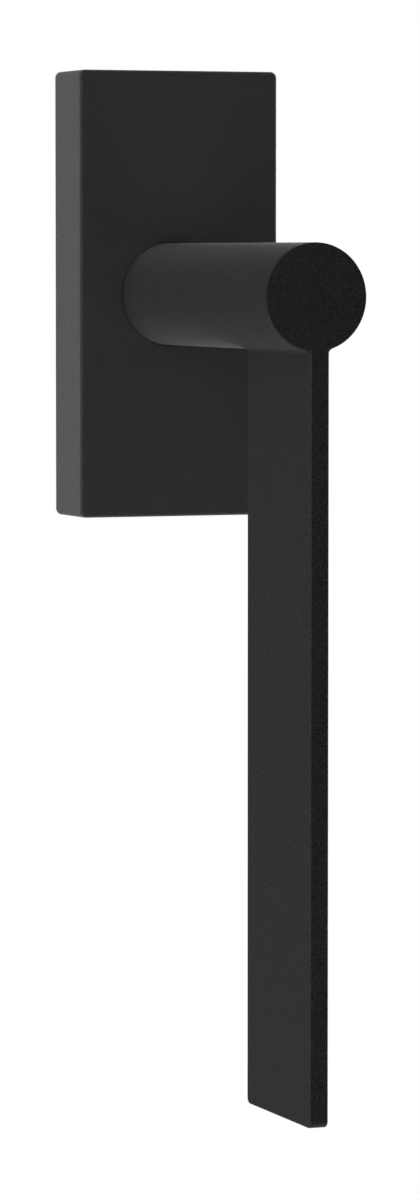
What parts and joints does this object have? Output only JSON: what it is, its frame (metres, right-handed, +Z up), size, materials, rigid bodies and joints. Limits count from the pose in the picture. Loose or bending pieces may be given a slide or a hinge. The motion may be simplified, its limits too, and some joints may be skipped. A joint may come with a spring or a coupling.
{
  "type": "tilt and turn window handle",
  "caption": "Tilt-and-turn window handle: a flat bar lever on a round neck that turns in quarter-turn clicks on a rectangular rose with a clip-on cover.",
  "frame": {"origin": "on the spindle's axis, in the plane of the sash face", "axes": "+Z up, along the rose and opposite to the closed blade; +Y along the spindle into the sash; the room is on the -Y side; +X to the right for someone facing the window"},
  "size_m": [0.033, 0.1042, 0.1578],
  "materials": {
    "black_coat": "matt powder coat",
    "textured_coat": "fine-textured matt powder coat",
    "die_cast_zinc": "bare die-cast zinc",
    "plated_steel": "zinc plated",
    "screw_steel": "zinc plated",
    "spring_steel": "blued spring steel",
    "bush_polymer": "natural acetal",
    "cam_polymer": "glass-filled nylon",
    "ring_polymer": "black acetal"
  },
  "bodies": {
    "base": {"base_plate": "die_cast_zinc", "bearing_bush": "bush_polymer", "mounting_screw_upper": "screw_steel", "mounting_screw_lower": "screw_steel", "detent_spring_right": "spring_steel", "detent_spring_left": "spring_steel", "keeper_plate": "plated_steel", "keeper_screws": "screw_steel", "cover_clip_upper": "spring_steel", "cover_clip_lower": "spring_steel"},
    "handle": {"neck": "black_coat", "lever_blade": "black_coat", "spindle": "plated_steel", "spindle_pin": "spring_steel", "detent_cam": "cam_polymer", "spring_washer": "spring_steel", "retaining_ring": "spring_steel"},
    "cover": {"rose_cover": "textured_coat", "cover_guide_ring": "ring_polymer"}
  },
  "joints": [
    {"name": "handle_turn", "type": "hinge", "parent": "base", "child": "handle", "pos_m": [0, 0, 0], "axis": [0, 1, 0], "continuous": true, "deforming": ["detent_spring_right", "detent_spring_left"]},
    {"name": "cover_slide", "type": "slide", "parent": "base", "child": "cover", "axis": [0, -1, 0], "range_m": [0, 0.03], "deforming": ["cover_clip_upper", "cover_clip_lower"]}
  ]
}
